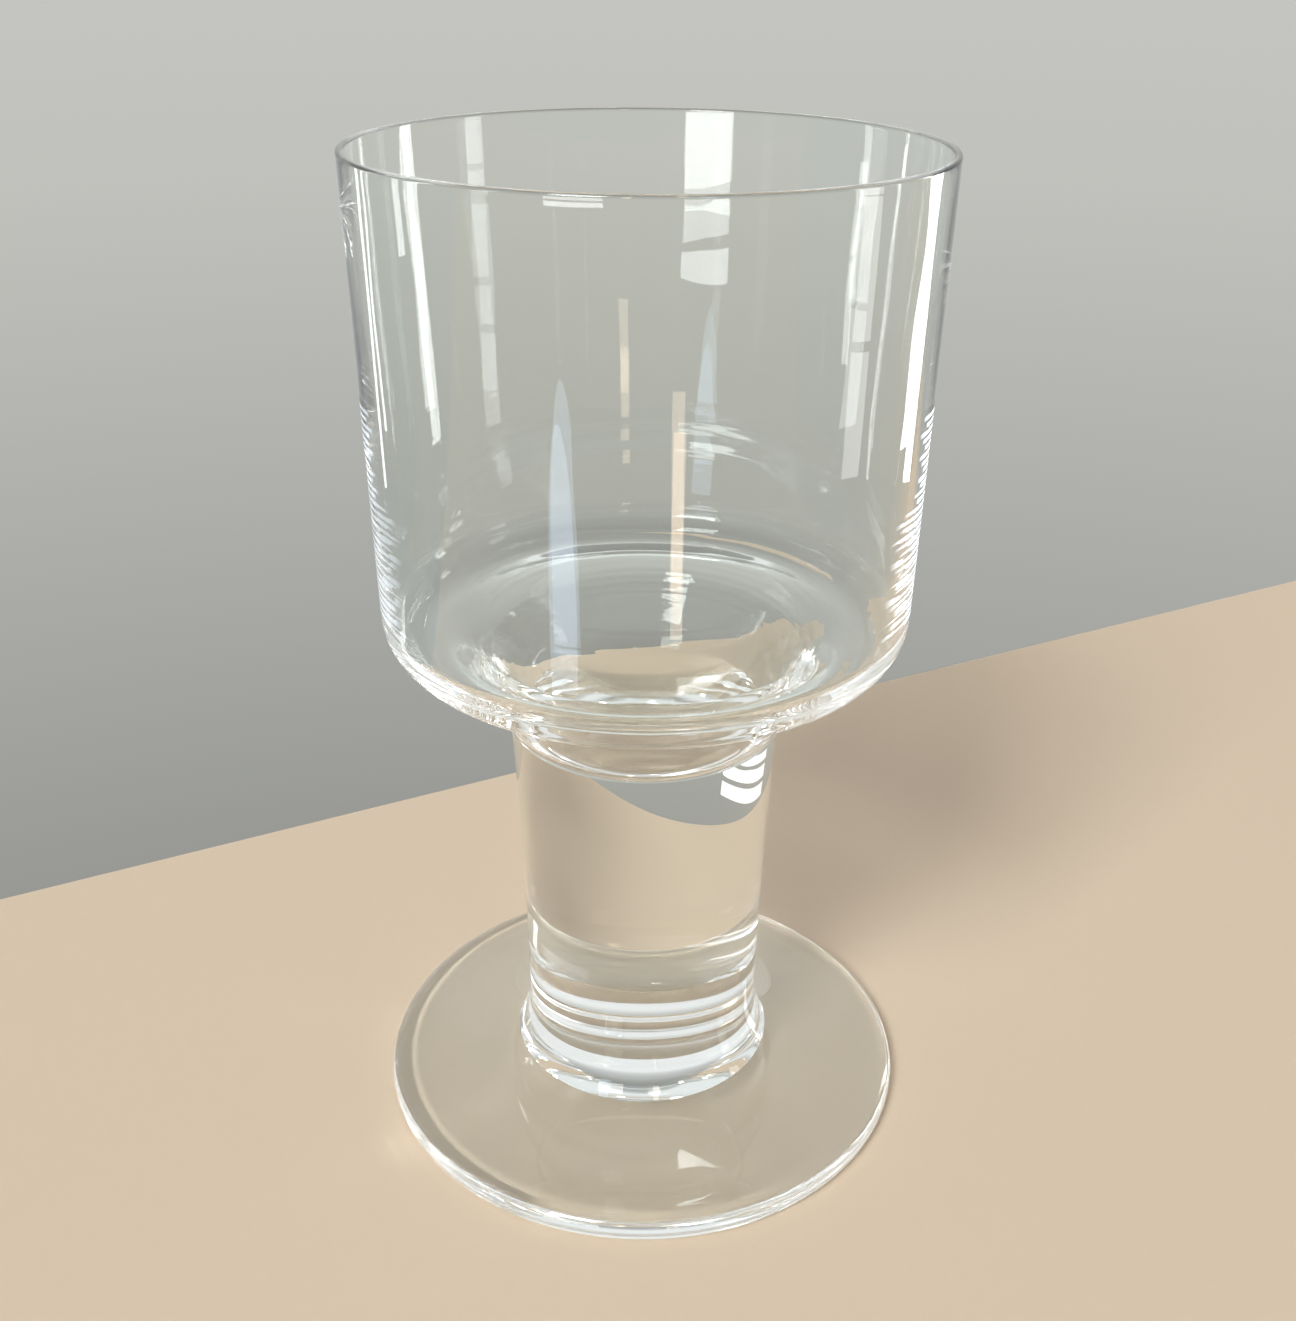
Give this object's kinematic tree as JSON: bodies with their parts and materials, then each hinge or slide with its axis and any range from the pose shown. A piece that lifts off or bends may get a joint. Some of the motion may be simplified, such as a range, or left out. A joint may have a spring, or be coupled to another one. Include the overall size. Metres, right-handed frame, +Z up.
{
  "type": "water goblet",
  "caption": "Clear glass water goblet: straight-sided bowl with a tight round heel and a dipped floor, on a thick solid stem and a round disc foot.",
  "frame": {"origin": "middle of the face it rests on, under the foot", "axes": "+Z up along the goblet's axis, from the foot to the rim; turned shape, so +X and +Y are any two square directions"},
  "size_m": [0.0846, 0.0846, 0.15],
  "materials": {
    "clear_glass": "fire-polished, clear"
  },
  "bodies": {
    "root": {"bowl": "clear_glass", "stem": "clear_glass", "foot": "clear_glass"}
  },
  "joints": []
}
